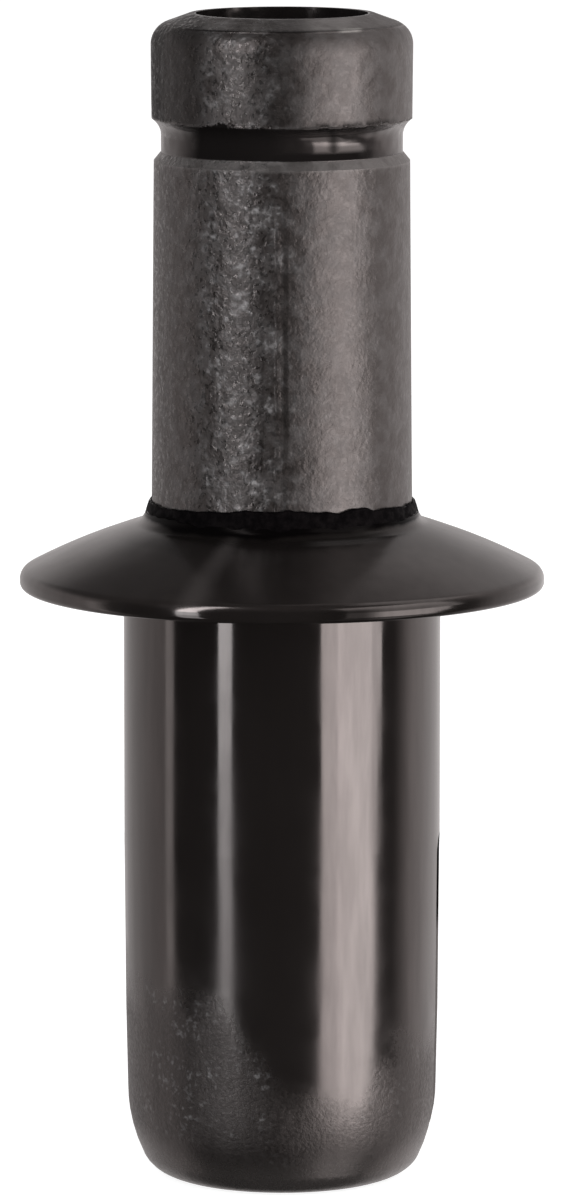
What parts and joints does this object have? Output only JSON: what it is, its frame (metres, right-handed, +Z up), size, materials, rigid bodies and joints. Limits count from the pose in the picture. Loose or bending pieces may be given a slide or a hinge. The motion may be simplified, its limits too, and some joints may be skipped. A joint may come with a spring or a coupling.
{
  "type": "push rivet",
  "caption": "Plastic push rivet: flanged, slotted sleeve with a grooved, cored pin standing raised in it, ready to be pressed flush.",
  "frame": {"origin": "centre of the sleeve's foot, the flat end that the rivet stands on", "axes": "+Z up the common axis of sleeve and pin, towards the pin's head; the slots between the legs open along +X and -X"},
  "size_m": [0.0132, 0.0132, 0.0293],
  "materials": {
    "sleeve": "black, glossy",
    "pin": "black, fine eroded grain"
  },
  "bodies": {
    "sleeve": {"sleeve": "sleeve"},
    "pin": {"pin": "pin"}
  },
  "joints": [
    {"name": "pin_press", "type": "slide", "parent": "sleeve", "child": "pin", "axis": [0, 0, -1], "range_m": [0, 0.01217]}
  ]
}
